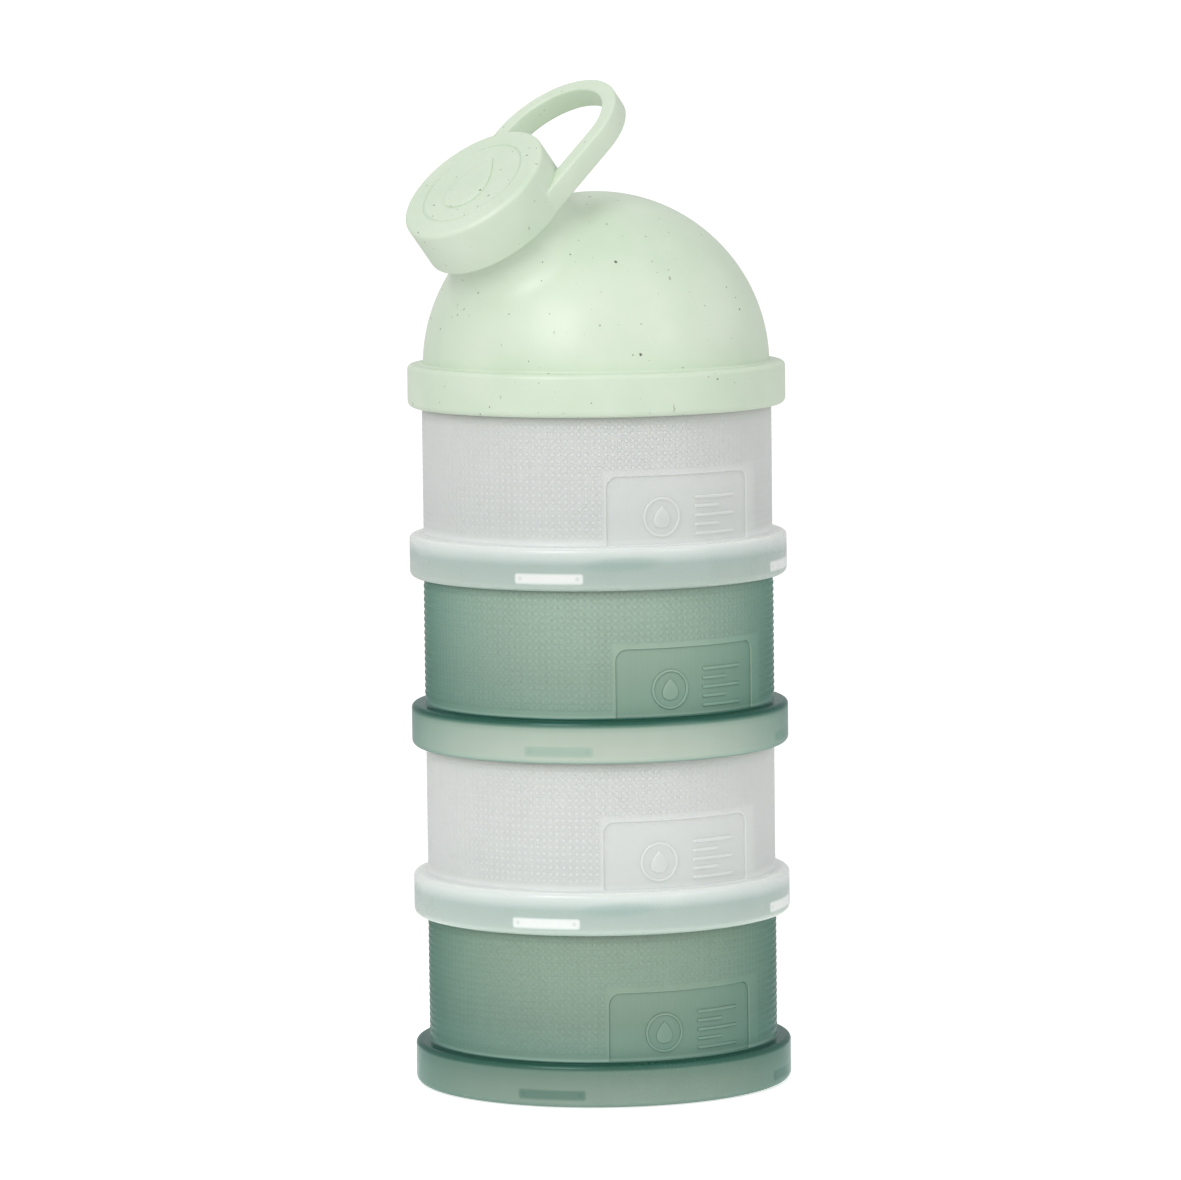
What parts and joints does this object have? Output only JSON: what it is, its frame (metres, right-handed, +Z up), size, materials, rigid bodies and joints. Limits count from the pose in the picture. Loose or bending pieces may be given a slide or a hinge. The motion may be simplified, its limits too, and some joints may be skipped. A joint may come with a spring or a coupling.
{
  "type": "formula dispenser",
  "caption": "Stacked milk powder dispenser: round screw-together compartments under a domed lid with a slanted spout, closed by a screw cap with a carry loop.",
  "frame": {"origin": "centre of the bounding box on the plane the bottom container stands on; the stack's own axis is 3.1 mm towards +Y of it", "axes": "+Z up along the stack, the spout leans towards -Y, +X to the right of the spout seen from the front"},
  "size_m": [0.08, 0.0858, 0.2128],
  "materials": {
    "frosted_white": "frosted, translucent",
    "frosted_green": "frosted, translucent",
    "speckled_green": "satin with fine specks",
    "silicone": "clear silicone"
  },
  "bodies": {
    "base": {"container_4": "frosted_green", "container_4_seal": "silicone"},
    "container_3_seal": {"container_3_seal": "silicone"},
    "container_3": {"container_3": "frosted_white"},
    "container_2_seal": {"container_2_seal": "silicone"},
    "container_2": {"container_2": "frosted_green"},
    "container_1_seal": {"container_1_seal": "silicone"},
    "container_1": {"container_1": "frosted_white"},
    "lid_seal": {"lid_seal": "silicone"},
    "lid": {"lid": "speckled_green"},
    "cap_seal": {"cap_seal": "silicone"},
    "cap": {"cap": "speckled_green"}
  },
  "joints": [
    {"name": "container_3_rise", "type": "slide", "parent": "base", "child": "container_3_seal", "axis": [0, 0, 1], "range_m": [0, 0.00451]},
    {"name": "container_3_twist", "type": "hinge", "parent": "container_3_seal", "child": "container_3", "pos_m": [0, 0.00308, 0.036], "axis": [0, 0, 1], "range_deg": [0, 75]},
    {"name": "container_2_rise", "type": "slide", "parent": "container_3", "child": "container_2_seal", "axis": [0, 0, 1], "range_m": [0, 0.00451]},
    {"name": "container_2_twist", "type": "hinge", "parent": "container_2_seal", "child": "container_2", "pos_m": [0, 0.00308, 0.072], "axis": [0, 0, 1], "range_deg": [0, 75]},
    {"name": "container_1_rise", "type": "slide", "parent": "container_2", "child": "container_1_seal", "axis": [0, 0, 1], "range_m": [0, 0.00451]},
    {"name": "container_1_twist", "type": "hinge", "parent": "container_1_seal", "child": "container_1", "pos_m": [0, 0.00308, 0.108], "axis": [0, 0, 1], "range_deg": [0, 75]},
    {"name": "lid_rise", "type": "slide", "parent": "container_1", "child": "lid_seal", "axis": [0, 0, 1], "range_m": [0, 0.00451]},
    {"name": "lid_twist", "type": "hinge", "parent": "lid_seal", "child": "lid", "pos_m": [0, 0.00308, 0.144], "axis": [0, 0, 1], "range_deg": [0, 75]},
    {"name": "cap_rise", "type": "slide", "parent": "lid", "child": "cap_seal", "axis": [0, -0.6468, 0.7627], "range_m": [0, 0.00641]},
    {"name": "cap_twist", "type": "hinge", "parent": "cap_seal", "child": "cap", "pos_m": [0, -0.02351, 0.18375], "axis": [0, -0.6468, 0.7627], "range_deg": [0, 360]}
  ],
  "couplings": [
    {"joint": "container_3_rise", "follows": "container_3_twist", "m_per_rad": 0.0034377},
    {"joint": "container_2_rise", "follows": "container_2_twist", "m_per_rad": 0.0034377},
    {"joint": "container_1_rise", "follows": "container_1_twist", "m_per_rad": 0.0034377},
    {"joint": "lid_rise", "follows": "lid_twist", "m_per_rad": 0.0034377},
    {"joint": "cap_rise", "follows": "cap_twist", "m_per_rad": 0.0010186}
  ]
}
